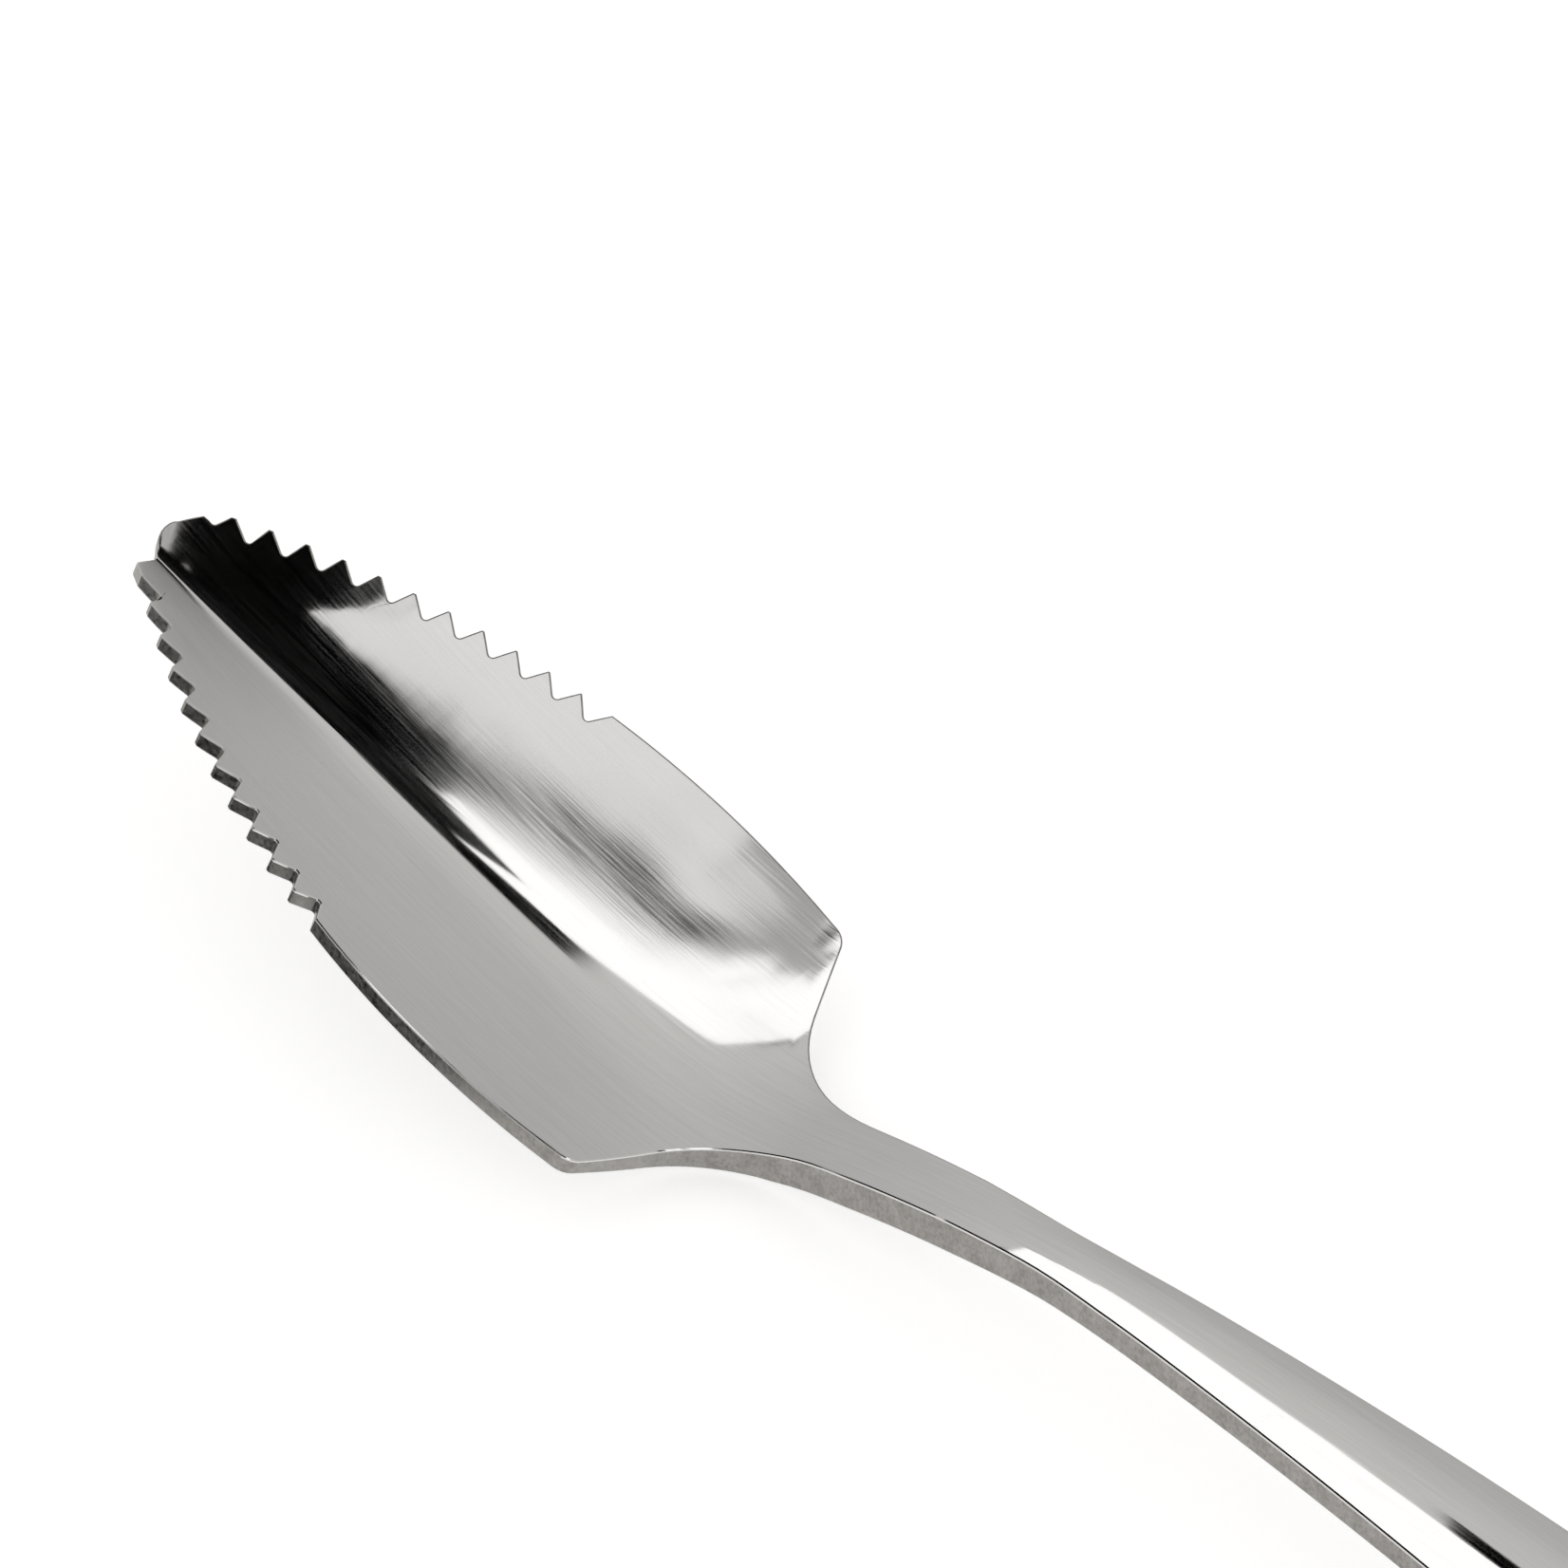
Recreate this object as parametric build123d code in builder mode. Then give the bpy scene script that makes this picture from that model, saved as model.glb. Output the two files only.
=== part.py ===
from build123d import *
import os
from math import acos, atan, cos, degrees, radians, sin, sqrt, tan

# Grapefruit spoon: one stainless blank with a folded, toothed bowl, a narrow neck and a flared handle.
# It is drawn with its keel level along X, the tip near x = 0, the far side at +Y and the inner fold line of
# the bowl at z = 0. It is then tipped back to lie as it would on a table, on the heel of the bowl and the end
# of the handle. Sizes are in millimetres and degrees.

# Plan of the bowl
bowl_width = 28.8
widest_at = 39.8
tip_width = 5.94
shoulder_at = 51.6
shoulder_radius = 1.6
rear_edge_lean = 26.0
root_radius = 10.0
far_tip_ahead = 2.1
far_lobe_length = 3.2
near_tip_at = 0.5
tip_notch_ahead = 0.3
far_tip_radius = 0.9
near_tip_radius = 0.7
far_edge_lean = 18.0
near_edge_lean = 8.0

# Teeth along the front of the rim
near_tooth_spacing = 2.62
far_tooth_spacing = 2.66
tooth_depth = 1.45
lobe_notch_depth = 0.8
tooth_land = 0.3
valley_radius = 0.3
near_teeth_end_at = 27.2
far_teeth_end_at = 28.1
near_notch_count = 11
far_notch_count = 12

# Folded trough
rim_level_tip = 3.95
rim_level_shoulder = 5.5
tip_wall_angle = 47.0
wall_cup = 0.4
sheet_thickness = 1.5
fold_half_width_tip = 0.6
fold_half_width_heel = 3.2
fold_half_width_root = 9.0
front_spans = 8
heel_spans = 6

# Heel, neck and handle seen from the side
keel_length = 20.0
heel_at = 40.5
heel_end_at = 60.0
heel_height = 6.15
neck_rise = 35.0
neck_straight = 5.5
neck_thickness = 2.8
neck_root_width = 5.2
neck_width = 4.4
neck_length = 13.5
neck_bend_radius = 95.0
handle_rise = 20.0
handle_radius = 250.0
handle_length = 87.5

# Handle in plan and section: its waist, its flare and how far the crowned top falls for each half width
waist_width = 3.9
waist_rounding = 0.08
waist_length = 7.5
handle_end_width = 14.2
handle_end_thickness = 2.5
crown_length = 12.0
crown_ratio = 0.2
least_crown = 0.01
end_bulge = 6.0
handle_spans = 14

# Cutting tools stand clear of the metal by this much
tool_clearance = 3.0
cap_clearance = 0.05

# Steps in which the spoon is let down on to the table
settle_steps = 6
surface_tolerance = 0.01

half_bowl = bowl_width / 2
rim_swell = half_bowl - tip_width / 2
rim_radius = (widest_at**2 + rim_swell**2) / (2 * rim_swell)
rim_centre_y = half_bowl - rim_radius


def rim_half_width(x):
    """Half width of the untoothed outline of the bowl at x."""
    return rim_centre_y + sqrt(rim_radius**2 - (x - widest_at) ** 2)


def along(slope):
    """Direction along the side line where it has this slope, in radians."""
    return Vector(cos(slope), 0, sin(slope))


def above(slope):
    """Direction square to the side line, upwards, where it has this slope, in radians."""
    return Vector(-sin(slope), 0, cos(slope))


# Side line of the upper surface: level keel, growing heel curve, straight neck, neck bend, then one arc along
# the handle. The growth of the heel is the power that brings it to the slope of the neck.
neck_slope = radians(neck_rise)
handle_slope = radians(handle_rise)
heel_end = Vector(heel_end_at, 0, heel_height)
heel_length = heel_end_at - keel_length
heel_growth = tan(neck_slope) * heel_length / heel_height
bend_start = heel_end + along(neck_slope) * neck_straight
bend_centre = bend_start - above(neck_slope) * neck_bend_radius
bend_run = neck_bend_radius * (neck_slope - handle_slope)
arch_centre = bend_centre + above(handle_slope) * (neck_bend_radius - handle_radius)


def side_plane(run):
    """Plane square to the side line after a run past the straight neck, with its X across and its Y up."""
    if run <= bend_run:
        slope = neck_slope - run / neck_bend_radius
        origin = bend_centre + above(slope) * neck_bend_radius
    else:
        slope = handle_slope - (run - bend_run) / handle_radius
        origin = arch_centre + above(slope) * handle_radius
    return Plane(origin, x_dir=(0, 1, 0), z_dir=along(slope))


# The neck runs from the end of the heel to where the top of the handle begins to crown
bowl_cut = Plane(heel_end, x_dir=(0, 1, 0), z_dir=(1, 0, 0))
handle_start_run = neck_length - neck_straight
handle_cut = side_plane(handle_start_run)
handle_start_x = handle_cut.origin.X


def heel_share(x):
    """How far x has come along the steep part of the heel, from 0 at its start to 1 at the neck."""
    return min(max((x - heel_at) / (heel_end.X - heel_at), 0), 1)


def side_height(x):
    """Height of the upper surface on the centre line, from the tip to the straight neck."""
    if x > heel_end.X:
        return heel_end.Z + (x - heel_end.X) * tan(neck_slope)
    return heel_height * (max(x - keel_length, 0) / heel_length) ** heel_growth


def upright_thickness(x):
    """Upright thickness of the metal on the centre line."""
    share = min(max(x - keel_length, 0) / heel_length, 1)
    slope = atan(tan(neck_slope) * share ** (heel_growth - 1))
    thickness = sheet_thickness + (neck_thickness - sheet_thickness) * heel_share(x)
    return thickness / cos(slope)


def fold_half_width(x):
    """Half width of the rounded fold, tight at the tip and wide at the neck."""
    if x <= heel_at:
        return fold_half_width_tip + (fold_half_width_heel - fold_half_width_tip) * max(x, 0) / heel_at
    return fold_half_width_heel + (fold_half_width_root - fold_half_width_heel) * heel_share(x)


def rim_level(x):
    """Height of the rim above the level keel, rising to the shoulders and then running to the neck."""
    if x <= shoulder_at:
        return rim_level_tip + (rim_level_shoulder - rim_level_tip) * (max(x, 0) / shoulder_at) ** 2
    share = (x - shoulder_at) / (heel_end.X - shoulder_at)
    return rim_level_shoulder + (heel_end.Z - rim_level_shoulder) * min(share, 1)


def wall_slope(x):
    """Rise of the trough walls per millimetre across, steepest at the tip and flat at the neck."""
    steepest = tan(radians(tip_wall_angle))
    span = rim_half_width(min(x, shoulder_at)) - fold_half_width(x) / 2
    rim_rise = max(rim_level(x) - side_height(x), 0)
    return rim_rise / max(span, rim_rise / steepest, fold_half_width_tip)


def trough_section(x):
    """Section of the folded sheet at x, wider than the bowl so that the outline trims it."""
    fold = fold_half_width(x)
    rim = max(rim_half_width(x), fold + fold_half_width_tip)
    reach = rim + tool_clearance
    middle = (fold + reach) / 2
    drop = upright_thickness(x)
    # The walls leave the fold a little flatter than their mean slope and cup upwards to the rim, less at the tip
    slope = wall_slope(x)
    cup_share = wall_cup * min(max(x, 0) / keel_length, 1)
    start_slope = slope * (1 - cup_share / 2)
    cup = slope * cup_share / (2 * (rim - fold))
    top_fold = start_slope * fold / 2
    top_middle = top_fold + start_slope * (middle - fold)
    top_edge = top_fold + start_slope * (reach - fold) + cup * (reach - fold) ** 2
    # The metal is thick on the centre line at the neck and thins to the sheet's gauge towards the rim
    thinning = (drop - sheet_thickness) / (reach - fold / 2)
    low_fold = top_fold - drop + thinning * fold / 2
    low_middle = top_middle - drop + thinning * (middle - fold / 2)
    low_edge = top_edge - sheet_thickness
    with BuildSketch(Plane((x, 0, side_height(x)), x_dir=(0, 1, 0), z_dir=(1, 0, 0))) as section:
        with BuildLine():
            Bezier((-reach, top_edge), (-middle, top_middle), (-fold, top_fold))
            Bezier((-fold, top_fold), (0, -top_fold), (fold, top_fold))
            Bezier((fold, top_fold), (middle, top_middle), (reach, top_edge))
            Line((reach, top_edge), (reach, low_edge))
            Bezier((reach, low_edge), (middle, low_middle), (fold, low_fold))
            Bezier((fold, low_fold), (0, -2 * drop - low_fold), (-fold, low_fold))
            Bezier((-fold, low_fold), (-middle, low_middle), (-reach, low_edge))
            Line((-reach, low_edge), (-reach, top_edge))
        make_face()
    return section.sketch


# Root corners, where the straight rear edges of the bowl run into the neck
root_half = neck_root_width / 2
lean_back = tan(radians(rear_edge_lean))
root_x = shoulder_at + (rim_half_width(shoulder_at) - root_half) * lean_back
far_root = Vector(root_x, root_half)
near_root = Vector(root_x, -root_half)
neck_half = neck_width / 2
outline_end_x = handle_start_x + tool_clearance
far_widening = tan(radians(far_edge_lean))
near_widening = tan(radians(near_edge_lean))


def shoulder(grow):
    """Corner between a rim and the rear edge, moved out along the rear edge where the rim grows."""
    y = rim_half_width(shoulder_at) + grow
    return Vector(root_x - (y - root_half) * lean_back, y)


def bowl_outline(level):
    """Outline of the bowl and neck in plan at a height, with a notch between two lobes at the tip.

    The rims are not cut upright but lean out with the walls, so the outline is wider lower down.
    """
    tip_drop = rim_level_tip - level
    shoulder_drop = rim_level(widest_at) - level
    far_tip = Vector(-far_tip_ahead, rim_half_width(-far_tip_ahead))
    lobe_root_at = far_lobe_length - far_tip_ahead
    lobe_root = Vector(lobe_root_at, rim_half_width(lobe_root_at) + tip_drop * far_widening)
    near_tip = Vector(near_tip_at, -rim_half_width(near_tip_at) - tip_drop * near_widening)
    far_shoulder = shoulder(shoulder_drop * far_widening)
    near_shoulder = shoulder(shoulder_drop * near_widening)
    near_shoulder = Vector(near_shoulder.X, -near_shoulder.Y)
    with BuildSketch(Plane.XY.offset(level)) as outline:
        with BuildLine():
            Line(far_tip, lobe_root)
            RadiusArc(lobe_root, far_shoulder, rim_radius)
            Polyline(far_shoulder, far_root, (handle_start_x, neck_half), (outline_end_x, neck_half))
            Line((outline_end_x, neck_half), (outline_end_x, -neck_half))
            Polyline((outline_end_x, -neck_half), (handle_start_x, -neck_half), near_root, near_shoulder)
            RadiusArc(near_shoulder, near_tip, rim_radius)
            Polyline(near_tip, (-tip_notch_ahead, 0), far_tip)
        make_face()
        for corner, radius in (
            (far_shoulder, shoulder_radius),
            (near_shoulder, shoulder_radius),
            (far_root, root_radius),
            (near_root, root_radius),
            (far_tip, far_tip_radius),
            (near_tip, near_tip_radius),
        ):
            fillet(outline.vertices().sort_by_distance(corner)[0], radius)
    return outline.sketch


def notch(spacing, depth):
    """One notch between two teeth, drawn with its mouth towards +X."""
    mouth = spacing - tooth_land
    with BuildSketch() as cut:
        Polygon((-depth, 0), (depth, -mouth), (depth, mouth), align=None)
        fillet(cut.vertices().sort_by(Axis.X)[0], valley_radius)
    return cut.sketch


def notch_places(count, spacing, teeth_end_at, side):
    """Places of the notches on one rim, counted forward from the end of the teeth."""
    last = acos((teeth_end_at - widest_at) / rim_radius)
    places = []
    for index in range(count):
        turn = last + index * spacing / rim_radius
        x = widest_at + rim_radius * cos(turn)
        y = rim_centre_y + rim_radius * sin(turn)
        places.append(Location((x, side * y), side * degrees(turn)))
    return places


# The notch beside the far lobe is shallower than the others
far_places = notch_places(far_notch_count, far_tooth_spacing, far_teeth_end_at, 1)
near_places = notch_places(near_notch_count, near_tooth_spacing, near_teeth_end_at, -1)
teeth_level = Plane.XY.offset(rim_level((near_teeth_end_at + near_tip_at) / 2))
with BuildSketch(teeth_level) as far_serration:
    with Locations(far_places[:-1]):
        add(notch(far_tooth_spacing, tooth_depth))
    with Locations(far_places[-1]):
        add(notch(far_tooth_spacing, lobe_notch_depth))
with BuildSketch(teeth_level) as near_serration:
    with Locations(near_places):
        add(notch(near_tooth_spacing, tooth_depth))

# Bowl: folded trough, trimmed to the outline that widens downwards, with the teeth cut at the same lean
front_x = -far_tip_ahead - tool_clearance
straight_x = heel_end.X + neck_straight / 2
front_stations = [front_x + (heel_at - front_x) * step / front_spans for step in range(front_spans)]
heel_stations = [heel_at + (heel_end.X - heel_at) * step / heel_spans for step in range(heel_spans + 1)]
low_level = -neck_thickness - tool_clearance
high_level = heel_height + tool_clearance
far_cut = (0, -far_widening, 1)
near_cut = (0, near_widening, 1)
with BuildPart() as bowl_blank:
    loft(sections=[trough_section(x) for x in front_stations + heel_stations + [straight_x]])
    loft(sections=[bowl_outline(low_level), bowl_outline(high_level)], ruled=True, mode=Mode.INTERSECT)
    extrude(far_serration.sketch, amount=bowl_width, dir=far_cut, both=True, mode=Mode.SUBTRACT)
    extrude(near_serration.sketch, amount=bowl_width, dir=near_cut, both=True, mode=Mode.SUBTRACT)
    split(bisect_by=bowl_cut, keep=Keep.BOTTOM)

# Neck: a bar of even thickness along the side line, trimmed to the same outline
bar_start = heel_end - along(neck_slope) * neck_thickness
bar_end = side_plane(handle_start_run + tool_clearance)
top_line = [bar_start, bend_start, bar_end.origin]
low_line = [
    bar_start - above(neck_slope) * neck_thickness,
    bend_start - above(neck_slope) * neck_thickness,
    bar_end.from_local_coords((0, -neck_thickness, 0)),
]
with BuildPart() as neck_blank:
    with BuildSketch(Plane.XZ) as neck_side:
        with BuildLine():
            start, bend, end = [Vector(point.X, point.Z) for point in top_line]
            low_start, low_bend, low_end = [Vector(point.X, point.Z) for point in low_line]
            Line(start, bend)
            RadiusArc(bend, end, neck_bend_radius)
            Line(end, low_end)
            RadiusArc(low_end, low_bend, neck_thickness - neck_bend_radius)
            Polyline(low_bend, low_start, start)
        make_face()
    extrude(amount=bowl_width, both=True)
    extrude(bowl_outline(0), amount=neck_length + bowl_width, both=True, mode=Mode.INTERSECT)
    split(bisect_by=bowl_cut, keep=Keep.TOP)
    split(bisect_by=handle_cut, keep=Keep.BOTTOM)


def handle_half_width(length):
    """Half width of the handle at a length behind its start: in to the waist, then out in a flare."""
    taper = (neck_width - waist_width) / (2 * waist_length)
    flare = (handle_end_width - waist_width) / (2 * (handle_length - waist_length))
    past = length - waist_length
    bend = sqrt(((flare + taper) * past / 2) ** 2 + waist_rounding**2)
    return waist_width / 2 + (flare - taper) * past / 2 + bend


def handle_section(length):
    """Section of the handle: a crowned top, upright edges and a flat underside."""
    half_width = handle_half_width(length)
    drop = max(crown_ratio * half_width * min(length / crown_length, 1), least_crown)
    thickness = neck_thickness + (handle_end_thickness - neck_thickness) * length / handle_length
    with BuildSketch(side_plane(handle_start_run + length)) as section:
        with BuildLine():
            ThreePointArc((-half_width, -drop), (0, 0), (half_width, -drop))
            Polyline(
                (half_width, -drop),
                (half_width, -thickness),
                (-half_width, -thickness),
                (-half_width, -drop),
            )
        make_face()
    return section.sketch


# The end of the handle is rounded in plan
handle_end_x = side_plane(handle_start_run + handle_length).origin.X
cap_run = handle_length - end_bulge
cap_x = side_plane(handle_start_run + cap_run).origin.X
cap_half = handle_half_width(cap_run) + cap_clearance
with BuildSketch() as handle_outline:
    with BuildLine():
        ThreePointArc((cap_x, cap_half), (handle_end_x, 0), (cap_x, -cap_half))
        Polyline(
            (cap_x, -cap_half),
            (cap_x, -handle_end_width),
            (heel_end.X, -handle_end_width),
            (heel_end.X, handle_end_width),
            (cap_x, handle_end_width),
            (cap_x, cap_half),
        )
    make_face()

# Handle: the flared and crowned blade along the arc, with a rounded end
with BuildPart() as handle_blank:
    loft(sections=[handle_section(handle_length * step / handle_spans) for step in range(handle_spans + 1)])
    extrude(handle_outline.sketch, amount=handle_length, both=True, mode=Mode.INTERSECT)


def tipped_points(blank, tip):
    """Points all over the surface of a blank when the spoon is tipped back."""
    return blank.part.moved(Location((0, 0, 0), (0, tip, 0))).tessellate(surface_tolerance)[0]


def lowest(blank, tip):
    """Height of the lowest point of a blank when the spoon is tipped back."""
    return min(point.Z for point in tipped_points(blank, tip))


# At rest the spoon lies on its heel and on the end of the handle
tip_back = neck_rise / 2
for step in range(settle_steps):
    handle_lift = lowest(handle_blank, tip_back) - lowest(bowl_blank, tip_back)
    tip_back += degrees(handle_lift / (handle_end_x - heel_at))
front = min(point.X for point in tipped_points(bowl_blank, tip_back))
back = max(point.X for point in tipped_points(handle_blank, tip_back))
at_rest = Location((-(front + back) / 2, 0, -lowest(bowl_blank, tip_back)), (0, tip_back, 0))

with BuildPart() as bowl:
    add(bowl_blank.part.moved(at_rest))
with BuildPart() as neck:
    add(neck_blank.part.moved(at_rest))
with BuildPart() as handle:
    add(handle_blank.part.moved(at_rest))

bowl.part.label = "bowl"
neck.part.label = "neck"
handle.part.label = "handle"

os.makedirs("parts", exist_ok=True)
export_step(bowl.part, "parts/bowl.step")
export_step(neck.part, "parts/neck.step")
export_step(handle.part, "parts/handle.step")

print(f"spoon {back - front:.2f} mm long")
print(f"tipped back {tip_back:.3f} degrees, shifted {at_rest.position.X:.3f}, {at_rest.position.Z:.3f} mm")
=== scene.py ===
import logging
from collections.abc import Callable
from dataclasses import dataclass, field
from enum import Enum
from functools import cached_property, partial
from math import acos, asin, atan, cos, pi, radians, sin, sqrt, tan
from typing import TypeVar

import bmesh
import bpy
from mathutils import Matrix, Vector


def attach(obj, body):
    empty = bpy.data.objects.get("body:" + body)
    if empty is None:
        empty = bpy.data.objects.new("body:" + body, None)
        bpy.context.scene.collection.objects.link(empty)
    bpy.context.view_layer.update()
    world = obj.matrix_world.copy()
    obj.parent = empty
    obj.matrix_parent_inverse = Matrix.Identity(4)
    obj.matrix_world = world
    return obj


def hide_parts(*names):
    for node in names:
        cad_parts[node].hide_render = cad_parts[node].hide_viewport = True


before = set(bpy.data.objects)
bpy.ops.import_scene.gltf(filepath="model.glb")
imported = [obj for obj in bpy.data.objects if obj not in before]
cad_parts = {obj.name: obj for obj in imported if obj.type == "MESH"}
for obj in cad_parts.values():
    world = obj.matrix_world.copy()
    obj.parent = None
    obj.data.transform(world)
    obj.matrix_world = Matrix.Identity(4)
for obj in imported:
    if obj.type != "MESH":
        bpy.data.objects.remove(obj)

log = logging.getLogger("grapefruit_spoon")

MM = 0.001
Mix = TypeVar("Mix", float, Vector)
Pair = tuple[float, float]
Triple = tuple[float, float, float]
Socket = bpy.types.NodeSocket


class Rim(Enum):
    """The two long rims of the spoon, with the sign of their Y."""

    FAR = 1
    NEAR = -1


class Face(Enum):
    """The two kinds of surface on the blank, with their material slot; the blanked finish also lies on the far rim's
    broken edges as a painted dark outline.
    """

    PRESSED = 0
    BLANKED = 1


class Join(Enum):
    """Ways to join two values in a finish."""

    SUM = "ADD"
    PRODUCT = "MULTIPLY"
    MOST = "MAXIMUM"


class Fade(Enum):
    """Ways to pass from one value to another in a finish."""

    EVEN = "LINEAR"
    SOFT = "SMOOTHERSTEP"


def blend(start: Mix, end: Mix, share: float) -> Mix:
    """Value at a share of the way from start to end."""
    return start + (end - start) * share


def spread(start: float, end: float, count: int) -> list[float]:
    """Evenly spaced values from start up to, but not including, end."""
    return [blend(start, end, step / count) for step in range(count)]


def rounded(corner: Vector, before: Vector, after: Vector, radius: float, count: int) -> list[Vector]:
    """Points along the rounding of a corner in plan.

    Args:
        corner: the sharp corner.
        before: unit direction that arrives at the corner.
        after: unit direction that leaves the corner.
        radius: radius of the rounding.
        count: number of points, both ends included.

    Returns:
        The points, in the direction of travel.
    """
    turn = before.angle_signed(after)
    reach = radius * tan(abs(turn) / 2)
    start = corner - before * reach
    inward = Vector((-before.y, before.x)) * (-1 if turn > 0 else 1)
    centre = start + inward * radius
    spoke = start - centre
    return [centre + Matrix.Rotation(-turn * step / (count - 1), 2) @ spoke for step in range(count)]


def set_down(name: str, shape: bmesh.types.BMesh) -> bpy.types.Object:
    """Turn a finished bmesh into an object of the scene.

    Args:
        name: name of the object and its mesh.
        shape: the bmesh, which is used up.

    Returns:
        The object, at the origin.
    """
    mesh = bpy.data.meshes.new(name)
    shape.to_mesh(mesh)
    shape.free()
    thing = bpy.data.objects.new(name, mesh)
    bpy.context.scene.collection.objects.link(thing)
    return thing


def flat_sheet(name: str, size: Pair, place: Matrix) -> bpy.types.Object:
    """Make a flat rectangular sheet.

    Args:
        name: name of the sheet.
        size: its width and depth.
        place: its place and turn.

    Returns:
        The sheet.
    """
    sheet = bmesh.new()
    bmesh.ops.create_grid(sheet, x_segments=1, y_segments=1, size=0.5)
    bmesh.ops.scale(sheet, vec=(*size, 1.0), verts=sheet.verts[:])
    bmesh.ops.transform(sheet, matrix=place, verts=sheet.verts[:])
    return set_down(name, sheet)


@dataclass(frozen=True)
class SideLine:
    """Line of the upper surface seen from the side: keel, heel, straight neck, neck bend and handle arc.

    A station is the plan X up to the start of the neck bend, and from there on the run along the line. Lengths are in
    millimetres here and in all the shapes of the blank.
    """

    heel_from: float = 20.0
    heel_to: float = 60.0
    heel_rise: float = 6.15
    neck_slope: float = radians(35.0)
    handle_slope: float = radians(20.0)
    neck_straight: float = 5.5
    bend_radius: float = 95.0
    handle_radius: float = 250.0

    @property
    def heel_growth(self) -> float:
        """Power of the heel's curve that brings it to the slope of the neck."""
        return tan(self.neck_slope) * (self.heel_to - self.heel_from) / self.heel_rise

    @property
    def bend_at(self) -> float:
        """Station where the neck bend starts."""
        return self.heel_to + self.neck_straight * cos(self.neck_slope)

    @property
    def bend_run(self) -> float:
        """Length of the neck bend."""
        return self.bend_radius * (self.neck_slope - self.handle_slope)

    def height(self, x: float) -> float:
        """Height of the line up to the neck bend.

        Args:
            x: place along the spoon in plan.

        Returns:
            The height over the level keel.
        """
        if x >= self.heel_to:
            return self.heel_rise + (x - self.heel_to) * tan(self.neck_slope)
        share = max(x - self.heel_from, 0.0) / (self.heel_to - self.heel_from)
        return self.heel_rise * share ** self.heel_growth

    def slope(self, x: float) -> float:
        """Angle of the line at a plan X up to the neck bend."""
        share = min(max(x - self.heel_from, 0.0) / (self.heel_to - self.heel_from), 1.0)
        return atan(tan(self.neck_slope) * share ** (self.heel_growth - 1.0))

    def at(self, station: float) -> tuple[Vector, Vector]:
        """Place on the line past the start of the neck bend.

        Args:
            station: station past bend_at.

        Returns:
            The point on the line and the direction square to it, upwards.
        """
        run = station - self.bend_at
        start = Vector((self.bend_at, 0.0, self.height(self.bend_at)))
        centre = start - self.square(self.neck_slope) * self.bend_radius
        if run <= self.bend_run:
            up = self.square(self.neck_slope - run / self.bend_radius)
            return centre + up * self.bend_radius, up
        arch = centre + self.square(self.handle_slope) * (self.bend_radius - self.handle_radius)
        up = self.square(self.handle_slope - (run - self.bend_run) / self.handle_radius)
        return arch + up * self.handle_radius, up

    @staticmethod
    def square(slope: float) -> Vector:
        """Direction square to the line where it has this slope."""
        return Vector((-sin(slope), 0.0, cos(slope)))


@dataclass(frozen=True)
class Serration:
    """Row of notches along the front of one rim.

    Attributes:
        spacing: distance from notch to notch.
        last_at: plan X of the last notch.
        count: number of notches.
        first_depth: depth of the notch beside the lobe at the tip.
        depth: depth of the others.
        land: what is left of the rim between two notches.
        valley_radius: radius at the bottom of a notch.
        half_rows: mesh rows from the mouth of a notch to its middle.
    """

    spacing: float
    last_at: float
    count: int
    first_depth: float
    depth: float = 1.45
    land: float = 0.3
    valley_radius: float = 0.3
    half_rows: int = 5

    @property
    def half_mouth(self) -> float:
        """Half the width of a notch at the rim."""
        return (self.spacing - self.land) / 2

    def depth_of(self, index: int) -> float:
        """Depth of one notch, counted forward from the last."""
        return self.first_depth if index == self.count - 1 else self.depth

    def half_valley(self, depth: float) -> float:
        """Half the width of the rounded valley, where it meets the flanks."""
        return self.valley_radius * depth / sqrt(self.half_mouth**2 + depth**2)

    def reaches(self, mouth: float, depth: float) -> list[float]:
        """Distances from the middle of a notch at which its mesh has rows, from the mouth inwards."""
        valley = self.half_valley(depth)
        return [mouth, blend(valley, mouth, 0.5), valley, valley * 0.5, 0.0]

    def cut(self, depth: float, offset: float) -> float:
        """How far the edge of a notch lies inside the rim.

        Args:
            depth: depth of the notch.
            offset: distance from its middle.

        Returns:
            The distance, below 0 where the edge lies outside the rim.
        """
        reach = abs(offset)
        if reach >= self.half_valley(depth):
            return depth * (1.0 - reach / self.half_mouth)
        flank = sqrt(self.half_mouth**2 + depth**2)
        centre = depth - self.valley_radius * flank / self.half_mouth
        return centre + sqrt(self.valley_radius**2 - reach**2)


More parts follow.
